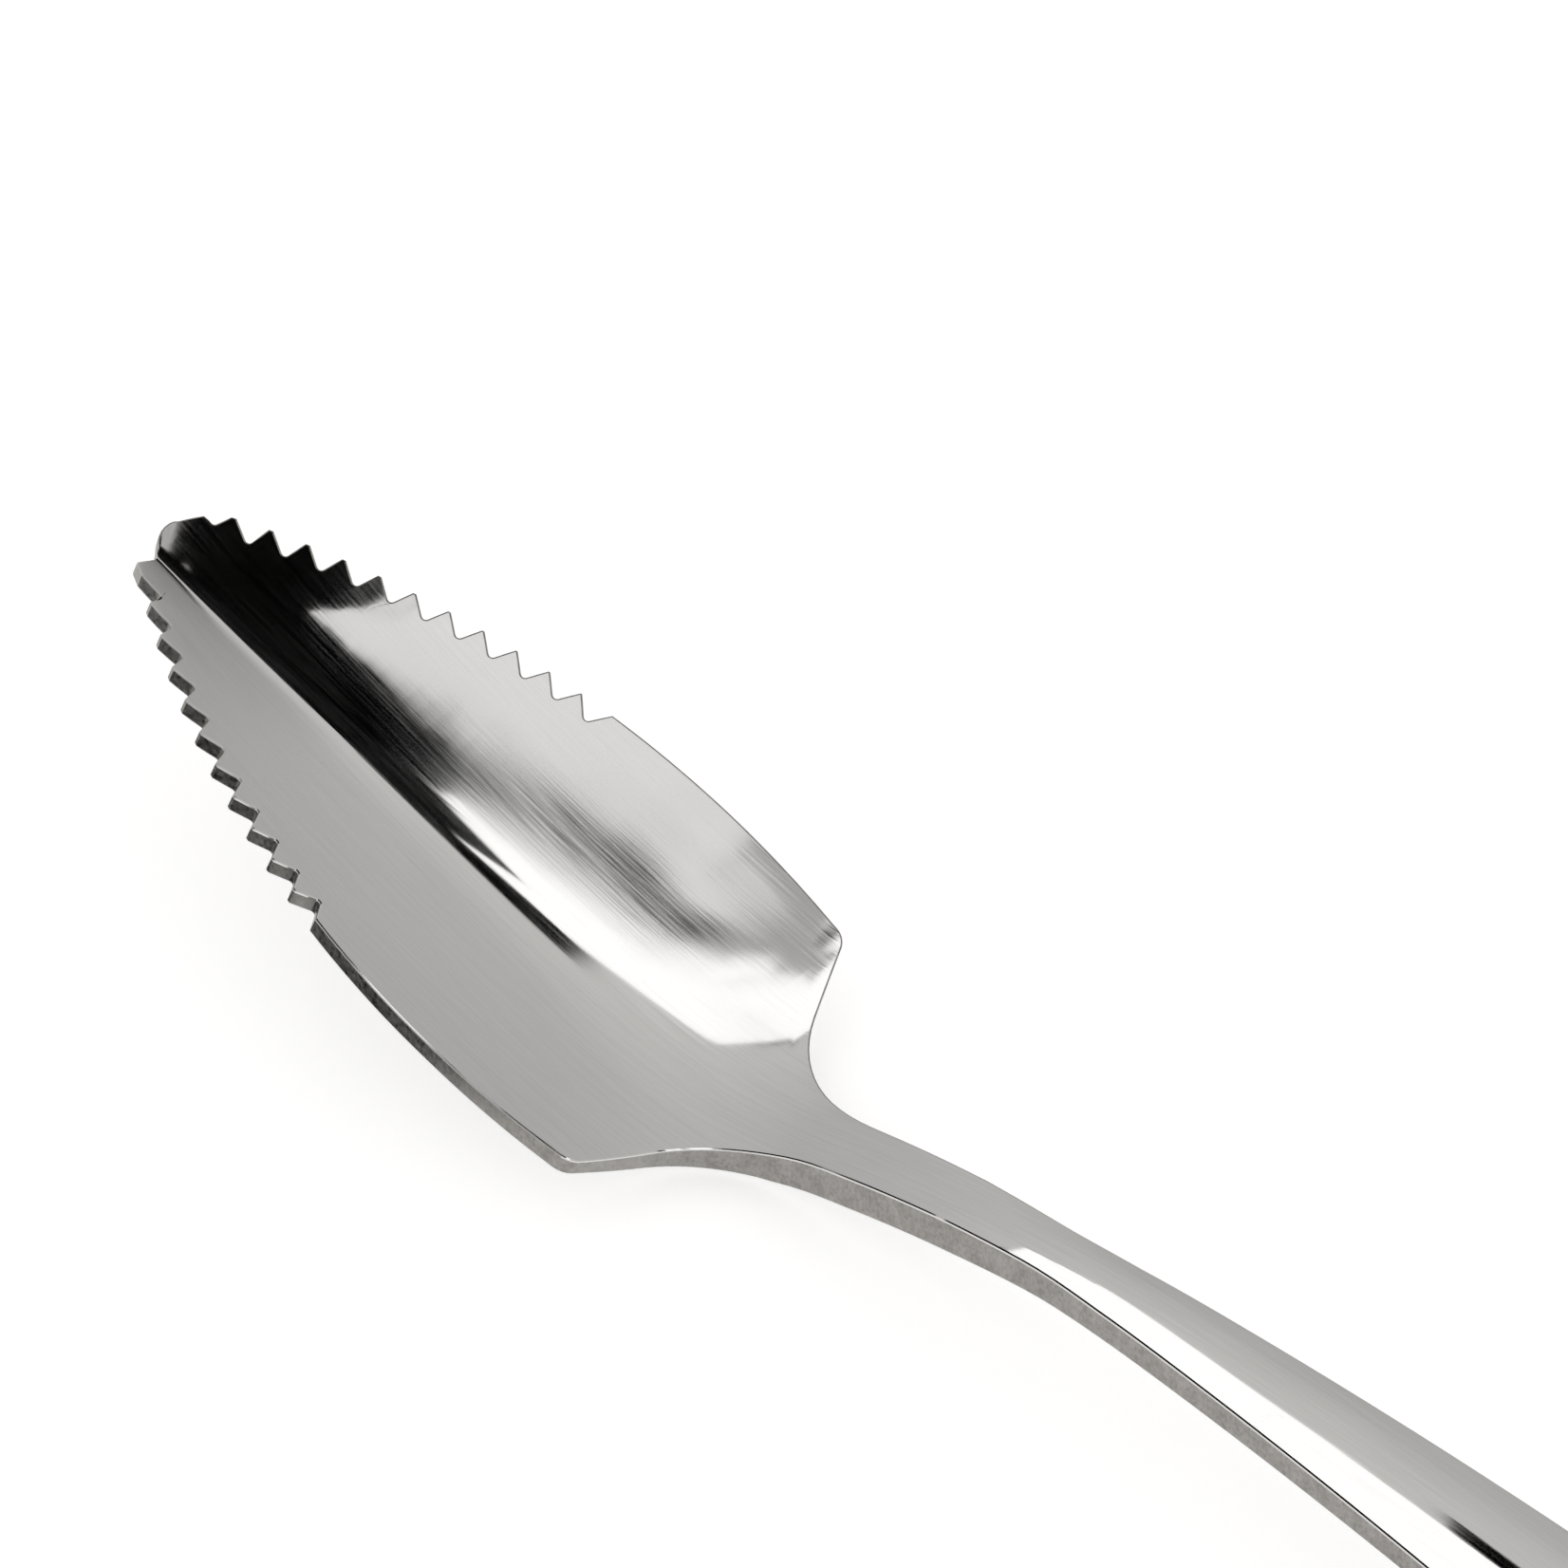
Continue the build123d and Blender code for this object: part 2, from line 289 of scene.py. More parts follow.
@dataclass(frozen=True)
class BowlPlan:
    """Outline of the bowl and neck seen from above."""

    width: float = 28.8
    widest_at: float = 39.8
    tip_width: float = 5.94
    tip_at: dict[Rim, float] = field(default_factory=lambda: {Rim.NEAR: 0.5, Rim.FAR: -2.1})
    tip_notch_at: float = -0.3
    tip_radius: dict[Rim, float] = field(default_factory=lambda: {Rim.NEAR: 0.7, Rim.FAR: 0.9})
    lobe_length: dict[Rim, float] = field(default_factory=lambda: {Rim.NEAR: 0.3, Rim.FAR: 3.2})
    shoulder_at: float = 51.6
    shoulder_radius: float = 1.6
    rear_lean: float = radians(26.0)
    root_radius: float = 10.0
    root_width: float = 5.2

    @property
    def rim_radius(self) -> float:
        """Radius of the long rims in plan."""
        swell = (self.width - self.tip_width) / 2
        return (self.widest_at**2 + swell**2) / (2 * swell)

    def half_width(self, x: float) -> float:
        """Half width of the untoothed rim at x."""
        return self.rim_point(self.rim_angle(x)).y

    def rim_angle(self, x: float) -> float:
        """Angle about the centre of the rim's arc at which the rim reaches x."""
        return acos((x - self.widest_at) / self.rim_radius)

    def rim_point(self, angle: float, cut: float = 0.0) -> Vector:
        """Point on the rim at an angle, or inside it by a cut."""
        centre = Vector((self.widest_at, self.width / 2 - self.rim_radius))
        return centre + Vector((cos(angle), sin(angle))) * (self.rim_radius - cut)

    def root(self) -> Vector:
        """Corner between the rear edge and the neck."""
        rear_depth = self.half_width(self.shoulder_at) - self.root_width / 2
        return Vector((self.shoulder_at + rear_depth * tan(self.rear_lean), self.root_width / 2))


@dataclass(frozen=True)
class Trough:
    """Folded sheet of the bowl: how far it rises from the keel and how thick it is.

    Attributes:
        plan: the bowl's outline.
        side: the line of the keel.
        wall_cup: how much the walls are cupped, as a share of their slope.
        margin: how far the sheet is drawn past the rim before it is cut.
        front_at: plan X of the first drawn section.
        front_sections: drawn sections up to the heel.
        heel_sections: drawn sections of the heel.
    """

    plan: BowlPlan
    side: SideLine
    rim_level_tip: float = 3.95
    rim_level_shoulder: float = 5.5
    tip_wall_slope: float = tan(radians(47.0))
    sheet: float = 1.5
    neck_thickness: float = 2.8
    fold_tip: float = 0.6
    fold_heel: float = 3.2
    fold_root: float = 9.0
    heel_at: float = 40.5
    wall_cup: float = 0.4
    margin: float = 3.0
    front_at: float = -5.1
    front_sections: int = 8
    heel_sections: int = 6

    @cached_property
    def drawn(self) -> list[tuple[float, Vector]]:
        """The drawn sections of the sheet, between which it is faired.

        Returns:
            The plan X and the section of each.
        """
        places = spread(self.front_at, self.heel_at, self.front_sections)
        places += spread(self.heel_at, self.side.heel_to, self.heel_sections)
        places += [self.side.heel_to, self.side.heel_to + self.side.neck_straight / 2]
        return [(x, self.section(x)) for x in places]

    def heel_share(self, x: float) -> float:
        """Share of the heel that lies in front of x."""
        return min(max((x - self.heel_at) / (self.side.heel_to - self.heel_at), 0.0), 1.0)

    def fold(self, x: float) -> float:
        """Half width of the rounded fold.

        Args:
            x: place along the bowl.

        Returns:
            The half width, which grows to the heel and faster behind it.
        """
        if x <= self.heel_at:
            return blend(self.fold_tip, self.fold_heel, max(x, 0.0) / self.heel_at)
        return blend(self.fold_heel, self.fold_root, self.heel_share(x))

    def half_sheet(self, x: float) -> float:
        """Half width of the sheet at x, which is always a little more than the fold's."""
        return max(self.plan.half_width(x), self.fold(x) + self.fold_tip)

    def rim_level(self, x: float) -> float:
        """Height of the rim over the level keel.

        Args:
            x: place along the bowl.

        Returns:
            The height, which grows to the shoulder and then joins the neck.
        """
        shoulder = self.plan.shoulder_at
        if x <= shoulder:
            return blend(self.rim_level_tip, self.rim_level_shoulder, (max(x, 0.0) / shoulder) ** 2)
        share = min((x - shoulder) / (self.side.heel_to - shoulder), 1.0)
        return blend(self.rim_level_shoulder, self.side.heel_rise, share)

    def wall_slope(self, x: float) -> float:
        """Mean slope of the walls.

        Args:
            x: place along the bowl.

        Returns:
            The rise per millimetre across.
        """
        span = self.plan.half_width(min(x, self.plan.shoulder_at)) - self.fold(x) / 2
        rise = max(self.rim_level(x) - self.side.height(x), 0.0)
        return rise / max(span, rise / self.tip_wall_slope, self.fold_tip)

    def section(self, x: float) -> Vector:
        """Section of the sheet as it is drawn.

        Args:
            x: place along the bowl.

        Returns:
            The half width of the fold, the reach, and the heights at the fold, half way up and at the reach.
        """
        fold, slope, rim = self.fold(x), self.wall_slope(x), self.half_sheet(x)
        reach = rim + self.margin
        cup = self.wall_cup * min(max(x, 0.0) / self.side.heel_from, 1.0)
        low = slope * (1.0 - cup / 2)
        edge = low * (reach - fold / 2) + slope * cup * (reach - fold) ** 2 / (2 * (rim - fold))
        return Vector((fold, reach, low * fold / 2, low * reach / 2, edge))

    def faired(self, x: float) -> Vector:
        """Section on a smooth curve through the drawn sections.

        Args:
            x: place along the bowl.

        Returns:
            The same five values as a drawn section.
        """
        drawn = self.drawn
        index = min(max(sum(place <= x for place, _ in drawn) - 1, 0), len(drawn) - 2)
        (before, first), (after, second) = drawn[index], drawn[index + 1]
        span, share = after - before, (x - before) / (after - before)
        start = end = lead = (second - first) / span
        if index:
            place, section = drawn[index - 1]
            start = blend((first - section) / (before - place), lead, (before - place) / (after - place))
        if index + 2 < len(drawn):
            place, section = drawn[index + 2]
            end = blend(lead, (section - second) / (place - after), span / (place - before))
        rest = 1.0 - share
        return (first * (rest**2 * (1.0 + 2.0 * share)) + second * (share**2 * (3.0 - 2.0 * share))
                + (start * rest - end * share) * (share * rest * span))

    def rise(self, x: float, y: float) -> float:
        """Rise of the upper surface over the keel.

        Args:
            x: place along the bowl.
            y: place across the bowl.

        Returns:
            The height over the keel at that x. The walls are cupped between the fold and the rim.
        """
        fold, reach, at_fold, at_middle, at_reach = self.faired(x)
        if abs(y) <= fold:
            return at_fold * (y / fold) ** 2
        share = (abs(y) - fold) / (reach - fold)
        rest = 1.0 - share
        return at_fold * rest**2 + 2.0 * at_middle * share * rest + at_reach * share**2

    def thickness(self, x: float, y: float) -> float:
        """Upright thickness of the metal.

        Args:
            x: place along the bowl.
            y: place across the bowl.

        Returns:
            The thickness, which is that of the neck at the keel behind and that of the sheet at the rim.
        """
        fold, across = self.fold(x), abs(y)
        middle = blend(self.sheet, self.neck_thickness, self.heel_share(x)) / cos(self.side.slope(x))
        reach = self.half_sheet(x) + self.margin
        run = across - fold / 2 if across > fold else across**2 / (2 * fold)
        return middle - (middle - self.sheet) * run / (reach - fold / 2)


@dataclass(frozen=True)
class HandleBlade:
    """Neck bar and the flared, crowned handle behind it.

    Attributes:
        side: the line of their upper surface.
        root: corner of the outline between the bowl's rear edge and the neck.
        waist_rounding: how softly the neck's taper turns into the handle's flare.
        crown_length: run over which the top comes to its full crown.
        crown_ratio: fall of the crown at the edge, as a share of the half width.
        end_bulge: length of the rounded end.
    """

    side: SideLine
    root: Vector
    neck_width: float = 4.4
    neck_length: float = 13.5
    thickness: float = 2.8
    length: float = 87.5
    waist_width: float = 3.9
    waist_rounding: float = 0.08
    waist_length: float = 7.5
    end_width: float = 14.2
    end_thickness: float = 2.5
    crown_length: float = 12.0
    crown_ratio: float = 0.2
    end_bulge: float = 6.0

    @property
    def start(self) -> float:
        """Station where the handle begins to crown."""
        return self.side.bend_at + self.neck_length - self.side.neck_straight

    @property
    def end(self) -> float:
        """Station of the end of the handle."""
        return self.start + self.length

    def half_width(self, station: float) -> float:
        """Half width of the neck or handle before its end is rounded.

        Args:
            station: station past the root of the neck.

        Returns:
            The half width.
        """
        if station >= self.start:
            taper = (self.neck_width - self.waist_width) / (2 * self.waist_length)
            flare = (self.end_width - self.waist_width) / (2 * (self.length - self.waist_length))
            past = station - self.start - self.waist_length
            bend = sqrt(((flare + taper) * past / 2) ** 2 + self.waist_rounding**2)
            return self.waist_width / 2 + (flare - taper) * past / 2 + bend
        start_x = self.side.at(self.start)[0].x
        x = station if station <= self.side.bend_at else self.side.at(station)[0].x
        return blend(self.root.y, self.neck_width / 2, (x - self.root.x) / (start_x - self.root.x))

    def crown(self, station: float, y: float) -> float:
        """Fall of the crowned top from the middle of the handle.

        Args:
            station: station past the neck bend's start.
            y: place across the handle.

        Returns:
            The fall, square to the side line.
        """
        half = self.half_width(station)
        growth = min(max((station - self.start) / self.crown_length, 0.0), 1.0)
        return self.crown_ratio * half * growth * (y / half) ** 2

    def depth(self, station: float) -> float:
        """Thickness of the neck or handle at a station."""
        share = min(max((station - self.start) / self.length, 0.0), 1.0)
        return blend(self.thickness, self.end_thickness, share)


@dataclass(frozen=True)
class Station:
    """One row of the mesh on one side of the keel.

    Attributes:
        plain: where the row would meet the outline without teeth.
        edge: where it meets the real outline.
    """

    plain: Vector
    edge: Vector


Row = Callable[[float], Station]
Surface = Callable[[Vector], Vector]


@dataclass(frozen=True)
class RowCounts:
    """Numbers of mesh rows in the runs of the outline, from the tip to the end of the handle.

    Attributes:
        stand_in: rows that each of three runs at the tip gets for a notch that only the other rim has.
        fan: rows of the plain rim after which the rows on the keel spread out evenly to the neck.
    """

    tip: int = 3
    lobe: int = 7
    land: int = 3
    rim: int = 34
    shoulder: int = 8
    rear_edge: int = 7
    root: int = 14
    neck: int = 14
    handle: int = 66
    end: int = 17
    stand_in: int = 3
    fan: int = 20

    @property
    def rear(self) -> int:
        """Rows from the plain rim to the root of the neck."""
        return self.rim - 1 + self.shoulder + self.rear_edge - 1 + self.root

    @property
    def back(self) -> int:
        """Rows of the neck and the handle."""
        return self.neck - 1 + self.handle + self.end


@dataclass(frozen=True)
class Streaks:
    """Noise drawn out along the spoon.

    Attributes:
        cells: noise cells per metre along, across and up.
        detail: octaves of the noise.
        turn: angle of the streaks about the upright axis.
    """

    cells: Triple
    detail: float
    turn: float = 0.0


class ShaderBench:
    """Helper that adds and wires the shader nodes of one node tree.

    Attributes:
        mix_colours: numbers of the colour sockets of a mix node.
        mix_result: number of its colour output.
    """

    mix_colours: tuple[int, int] = (6, 7)
    mix_result: int = 2

    def __init__(self, tree: bpy.types.NodeTree) -> None:
        """Work on this node tree."""
        self.tree = tree

    def put(self, socket: Socket, value: object) -> None:
        """Give a socket its value.

        Args:
            socket: the socket of a node.
            value: its value, or another node's output to link to it.
        """
        if isinstance(value, Socket):
            self.tree.links.new(value, socket)
        else:
            socket.default_value = value

    def add(self, kind: str, **inputs: object) -> bpy.types.Node:
        """Add a node.

        Args:
            kind: the node's type name.
            **inputs: values or links for its sockets by name, with _ for a space.

        Returns:
            The node.
        """
        node = self.tree.nodes.new(kind)
        for name, value in inputs.items():
            self.put(node.inputs[name.replace("_", " ")], value)
        return node

    def noise(self, streaks: Streaks) -> Socket:
        """Noise in the object's own frame.

        Args:
            streaks: how it is drawn out.

        Returns:
            The noise value.
        """
        place = self.add("ShaderNodeTexCoord").outputs["Object"]
        turned = self.add("ShaderNodeMapping", Vector=place, Rotation=(0.0, 0.0, streaks.turn), Scale=streaks.cells)
        noise = self.add("ShaderNodeTexNoise", Vector=turned.outputs["Vector"], Scale=1.0, Detail=streaks.detail)
        return noise.outputs[0]

    def remap(self, value: Socket, limits: Pair, results: Pair, fade: Fade = Fade.EVEN) -> Socket:
        """Clamp a value to a range and stretch it to another.

        Args:
            value: the value.
            limits: the range that counts.
            results: what its two ends become.
            fade: how the result passes from one to the other.

        Returns:
            The result.
        """
        node = self.add("ShaderNodeMapRange", Value=value, From_Min=limits[0], From_Max=limits[1],
                        To_Min=results[0], To_Max=results[1])
        node.interpolation_type = fade.value
        return node.outputs["Result"]

    def mix(self, share: Socket, first: Triple, second: Triple) -> Socket:
        """Mix two colours.

        Args:
            share: share of the second colour.
            first: the first colour.
            second: the second colour.

        Returns:
            The mixed colour.
        """
        node = self.add("ShaderNodeMix")
        node.data_type = "RGBA"
        self.put(node.inputs[0], share)
        for index, colour in zip(self.mix_colours, (first, second)):
            self.put(node.inputs[index], (*colour, 1.0))
        return node.outputs[self.mix_result]

    def join(self, way: Join, first: Socket, second: object) -> Socket:
        """Join two values.

        Args:
            way: how they are joined.
            first: the first value.
            second: the second value, or a plain number.

        Returns:
            The result.
        """
        node = self.add("ShaderNodeMath")
        node.operation = way.value
        for socket, value in zip(node.inputs, (first, second)):
            self.put(socket, value)
        return node.outputs["Value"]

    def weigh(self, first: Socket, second: Socket, share: float) -> Socket:
        """Sum of two values, the first with this share and the second with the rest."""
        rest = self.join(Join.PRODUCT, second, 1.0 - share)
        return self.join(Join.SUM, self.join(Join.PRODUCT, first, share), rest)


class FinishBench(ShaderBench):
    """Shader nodes of one new material."""

    def __init__(self, name: str) -> None:
        """Make an empty node material with this name."""
        self.material = bpy.data.materials.new(name)
        self.material.use_nodes = True
        super().__init__(self.material.node_tree)
        self.tree.nodes.clear()

    def finish(self, shader: bpy.types.Node) -> bpy.types.Material:
        """Link the shader to the output and hand over the material."""
        self.add("ShaderNodeOutputMaterial", Surface=shader.outputs[0])
        return self.material

    def metal(self, colour: Socket, rough: Socket, normal: Socket) -> bpy.types.Material:
        """Finish the material as bare metal with this colour, roughness and relief."""
        return self.finish(self.add("ShaderNodeBsdfPrincipled", Metallic=1.0, Base_Color=colour, Roughness=rough,
                                    Normal=normal))


@dataclass(frozen=True)
class PolishedSteel:
    """Polished stainless steel with fine polishing lines along the spoon and a satin front on the near wall.

    Attributes:
        light: colour on the polishing lines.
        dark: colour between them.
        smooth: roughness between the lines.
        rough: roughness on the lines.
        uneven: what a soft cloud adds to the roughness.
        satin: roughness that the satin front adds at the tip.
        satin_along: X where the satin starts to fade and where it has gone, in metres.
        satin_across: Y over which the satin stops beside the keel, in metres.
        relief: height of the lines, in metres.
        noise_limits: noise values that count as between the lines and on them.
        long_share: share of the long lines beside the slanting ones.
    """

    light: Triple = (0.705, 0.698, 0.688)
    dark: Triple = (0.655, 0.645, 0.632)
    smooth: float = 0.05
    rough: float = 0.11
    uneven: Pair = (-0.02, 0.03)
    satin: float = 0.52
    satin_along: Pair = (-0.070, -0.053)
    satin_across: Pair = (-0.0008, -0.0002)
    relief: float = 0.0000009
    noise_limits: Pair = (0.35, 0.65)
    long_lines: Streaks = Streaks((160.0, 7500.0, 160.0), 3.0, radians(4.0))
    slanting_lines: Streaks = Streaks((220.0, 6000.0, 220.0), 2.0, radians(-14.0))
    long_share: float = 0.6
    cloud: Streaks = Streaks((45.0, 160.0, 160.0), 2.0)

    def material(self) -> bpy.types.Material:
        """Make the finish.

        Returns:
            The material.
        """
        nodes = FinishBench("polished_steel")
        lines = nodes.weigh(nodes.noise(self.long_lines), nodes.noise(self.slanting_lines), self.long_share)
        colour = nodes.mix(nodes.remap(lines, self.noise_limits, (0.0, 1.0)), self.dark, self.light)
        polish = nodes.join(Join.SUM, nodes.remap(lines, self.noise_limits, (self.smooth, self.rough)),
                            nodes.remap(nodes.noise(self.cloud), self.noise_limits, self.uneven))
        spot = nodes.add("ShaderNodeSeparateXYZ", Vector=nodes.add("ShaderNodeTexCoord").outputs["Object"])
        satin = nodes.join(Join.PRODUCT,
                           nodes.remap(spot.outputs["X"], self.satin_along, (self.satin, 0.0), Fade.SOFT),
                           nodes.remap(spot.outputs["Y"], self.satin_across, (1.0, 0.0)))
        bump = nodes.add("ShaderNodeBump", Strength=1.0, Distance=self.relief, Height=lines)
        return nodes.metal(colour, nodes.join(Join.SUM, polish, satin), bump.outputs["Normal"])


@dataclass(frozen=True)
class BlankedEdgeAndPaintedOutline:
    """Grainy edge that the blanking punch leaves; its dark finish also lies on the far rim's broken edges as a
    painted dark outline.

    Attributes:
        light: colour of the high grains.
        dark: colour of the low ones.
        smooth: least roughness of the grain.
        rough: most roughness of the grain.
        relief: height of the grain, in metres.
        relief_strength: how much of the relief shows.
        colour_limits: noise values that count as dark and light.
        rough_limits: noise values that count as smooth and rough.
        grain_share: share of the fine grain beside the patches.
    """

    light: Triple = (0.37, 0.355, 0.34)
    dark: Triple = (0.23, 0.22, 0.205)
    smooth: float = 0.25
    rough: float = 0.42
    relief: float = 0.000012
    relief_strength: float = 0.6
    colour_limits: Pair = (0.36, 0.64)
    rough_limits: Pair = (0.3, 0.7)
    grain: Streaks = Streaks((4200.0, 4200.0, 2600.0), 4.0)
    patches: Streaks = Streaks((900.0, 900.0, 500.0), 2.0)
    grain_share: float = 0.65

    def material(self) -> bpy.types.Material:
        """Make the finish.

        Returns:
            The material.
        """
        nodes = FinishBench("blanked_edge_and_painted_outline")
        grain = nodes.noise(self.grain)
        both = nodes.weigh(grain, nodes.noise(self.patches), self.grain_share)
        colour = nodes.mix(nodes.remap(both, self.colour_limits, (0.0, 1.0)), self.dark, self.light)
        rough = nodes.remap(grain, self.rough_limits, (self.smooth, self.rough))
        bump = nodes.add("ShaderNodeBump", Strength=self.relief_strength, Distance=self.relief, Height=both)
        return nodes.metal(colour, rough, bump.outputs["Normal"])


@dataclass
class SpoonBlank:
    """The whole spoon: one steel blank with its teeth, fold, heel, neck and crowned handle.

    Attributes:
        plan: outline of the bowl.
        side: line of the upper surface from the side.
        teeth: the notches of each rim.
        edge_lean: how far the cut edge of each rim leans, per millimetre of height.
        counts: numbers of mesh rows.
        tip_back: angle by which the level keel is turned to lie at rest.
        shift: its move to lie at rest.
        levels: lowest and highest height at which the outline is drawn.
        teeth_level: height at which the notches have their drawn place.
        tip_from: share of the way from the notch at the tip to a lobe where the rows begin.
        valley_room: least half width of a notch's mouth, over that of its valley.
        least_land: half of the least rim left between two notches.
        mouth_rounds: rounds in which the mouth of a notch is found.
        edge_rounds: rounds in which the edge of a surface is found.
        least_step: least distance between two rows on the keel.
        rim_band: width of the last column along the rim.
        rim_band_most: most that the last column takes of the way from the keel.
        edge_break: width of the broken edges.
        crease: angle from which an edge stays crisp.
        columns: shares of the way from the keel to the last column.
    """

    plan: BowlPlan = field(default_factory=BowlPlan)
    side: SideLine = field(default_factory=SideLine)
    teeth: dict[Rim, Serration] = field(default_factory=lambda: {
        Rim.NEAR: Serration(spacing=2.62, last_at=27.2, count=11, first_depth=1.45),
        Rim.FAR: Serration(spacing=2.66, last_at=28.1, count=12, first_depth=0.8)})
    edge_lean: dict[Rim, float] = field(default_factory=lambda: {
        Rim.NEAR: tan(radians(8.0)), Rim.FAR: tan(radians(18.0))})
    counts: RowCounts = RowCounts()
    tip_back: float = radians(17.713)
    shift: Triple = (-78.638, 0.0, 16.058)
    levels: Pair = (-5.8, 9.15)
    teeth_level: float = 4.062
    tip_from: float = 0.4
    valley_room: float = 1.5
    least_land: float = 0.04
    mouth_rounds: int = 8
    edge_rounds: int = 6
    least_step: float = 0.06
    rim_band: float = 2.0
    rim_band_most: float = 0.45
    edge_break: float = 0.14
    crease: float = radians(28.0)
    columns: tuple[float, ...] = (0.0, 0.04, 0.08, 0.12, 0.16, 0.2, 0.25, 0.3, 0.36, 0.43, 0.51, 0.6, 0.7, 0.8,
                                  0.9, 1.0)

    def __post_init__(self) -> None:
        """Lay out the sheet, the handle and the rows of the mesh."""
        self.trough = Trough(self.plan, self.side)
        self.handle = HandleBlade(self.side, self.plan.root())
        self.lobes = {rim: [self.lobe_points(rim, level) for level in self.levels] for rim in Rim}
        self.outlines = {rim: self.outline(rim) for rim in Rim}
        self.rows = {rim: [row(self.teeth_level) for row in rows] for rim, rows in self.outlines.items()}
        self.keel = self.keel_stations()

    def lean_out(self, rim: Rim, x: float, level: float) -> float:
        """How far the outline at a height stands outside the plan of the rim.

        Args:
            rim: which rim.
            x: place along the bowl.
            level: height over the level keel.

        Returns:
            The distance across. The rims lean out with the walls, but the tip of the far lobe is cut upright.
        """
        lobe_root = self.plan.tip_at[Rim.FAR] + self.plan.lobe_length[Rim.FAR]
        if rim is Rim.FAR and x < lobe_root:
            return 0.0
        share = max((x - lobe_root) / (self.plan.shoulder_at - lobe_root), 0.0)
        middle = blend(self.trough.rim_level_tip, self.trough.rim_level(self.plan.widest_at), share)
        return (middle - level) * self.edge_lean[rim]

    def rim_spot(self, rim: Rim, x: float, level: float) -> Vector:
        """Point of the outline without teeth at a height."""
        return Vector((x, self.plan.half_width(x) + self.lean_out(rim, x, level)))

    def extra_rows(self, rim: Rim) -> int:
        """Rows that each of three runs at the tip gets so that both rims have the same number."""
        most = max(row.count for row in self.teeth.values())
        return (most - self.teeth[rim].count) * self.counts.stand_in

    def lobe_points(self, rim: Rim, level: float) -> list[Vector]:
        """Outline from the notch at the tip round one lobe.

        Args:
            rim: which rim.
            level: height over the level keel.

        Returns:
            The points, from the notch.
        """
        tip, extra = self.plan.tip_at[rim], self.extra_rows(rim)
        notch = Vector((self.plan.tip_notch_at, 0.0))
        corner = self.rim_spot(rim, tip, level)
        after = (self.rim_spot(rim, tip + self.plan.lobe_length[rim], level) - corner).normalized()
        curve = rounded(corner, (corner - notch).normalized(), after, self.plan.tip_radius[rim],
                        self.counts.lobe + extra)
        return [notch.lerp(curve[0], share) for share in spread(self.tip_from, 1.0, self.counts.tip + extra)] + curve

    def ruled_row(self, lowest: Vector, highest: Vector, level: float) -> Station:
        """One row on a straight line from the lowest outline to the highest.

        Args:
            lowest: where the row meets the lowest outline.
            highest: where it meets the highest.
            level: height over the level keel.

        Returns:
            The row's station.
        """
        bottom, top = self.levels
        point = lowest.lerp(highest, (level - bottom) / (top - bottom))
        return Station(point, point)

    @staticmethod
    def upright_row(point: Vector, level: float) -> Station:
        """One row whose edge stands upright, the same at every level."""
        return Station(point, point)

    def lobe_row(self, rim: Rim, index: int, level: float) -> Station:
        """One row round a lobe at a height."""
        lowest, highest = self.lobes[rim]
        return self.ruled_row(lowest[index], highest[index], level)

    def plain_spot(self, rim: Rim, x: float, level: float) -> Vector:
        """Point of the outline without teeth, which is straight along the far lobe.

        Args:
            rim: which rim.
            x: place along the bowl.
            level: height over the level keel.

        Returns:
            The point.
        """
        root_x = self.plan.tip_at[rim] + self.plan.lobe_length[rim]
        if x >= root_x:
            return self.rim_spot(rim, x, level)
        front, root = self.lobe_row(rim, -1, level).edge, self.rim_spot(rim, root_x, level)
        return front.lerp(root, (x - front.x) / (root.x - front.x))

    def notch_angle(self, rim: Rim, index: int) -> float:
        """Angle of the middle of one notch, counted forward from the last."""
        teeth = self.teeth[rim]
        return self.plan.rim_angle(teeth.last_at) + index * teeth.spacing / self.plan.rim_radius

    def mouth(self, rim: Rim, index: int, side: int, level: float) -> float:
        """Half width of a notch where it meets the outline.

        Args:
            rim: which rim.
            index: number of the notch, counted forward from the last.
            side: 1 in front of the middle of the notch, -1 behind it.
            level: height over the level keel.

        Returns:
            The half width on that side.
        """
        plan, teeth = self.plan, self.teeth[rim]
        depth, mouth = teeth.depth_of(index), teeth.half_mouth
        least, most = teeth.half_valley(depth) * self.valley_room, teeth.spacing / 2 - self.least_land
        lift = (self.teeth_level - level) * self.edge_lean[rim]
        for _ in range(self.mouth_rounds):
            spot = plan.rim_point(self.notch_angle(rim, index) + side * mouth / plan.rim_radius)
            deeper = self.plain_spot(rim, spot.x, level).y - spot.y - lift
            widest = teeth.half_mouth * (1.0 + deeper / depth)
            mouth = (mouth + min(max(widest, least), most)) / 2
        return mouth

    def notch_row(self, rim: Rim, index: int, side: int, step: int, level: float) -> Station:
        """One row across a notch at a height.

        Args:
            rim: which rim.
            index: number of the notch, counted forward from the last.
            side: 1 in front of the middle of the notch, -1 behind it.
            step: number of the row, from the mouth inwards.
            level: height over the level keel.

        Returns:
            The row's station.
        """
        plan, teeth = self.plan, self.teeth[rim]
        depth = teeth.depth_of(index)
        offset = side * teeth.reaches(self.mouth(rim, index, side, level), depth)[step]
        angle = self.notch_angle(rim, index) + offset / plan.rim_radius
        plain = self.plain_spot(rim, plan.rim_point(angle).x, level)
        lift = Vector((0.0, (self.teeth_level - level) * self.edge_lean[rim]))
        edge = plan.rim_point(angle, teeth.cut(depth, offset)) + lift
        return Station(plain, edge if edge.y < plain.y else plain)

    def land_row(self, rim: Rim, share: float, level: float) -> Station:
        """One row between the lobe at the tip and the first notch.

        Args:
            rim: which rim.
            share: share of the way from the lobe.
            level: height over the level keel.

        Returns:
            The row's station.
        """
        first = self.notch_row(rim, self.teeth[rim].count - 1, 1, 0, level).edge
        point = self.lobe_row(rim, -1, level).edge.lerp(first, share)
        return Station(point, point)

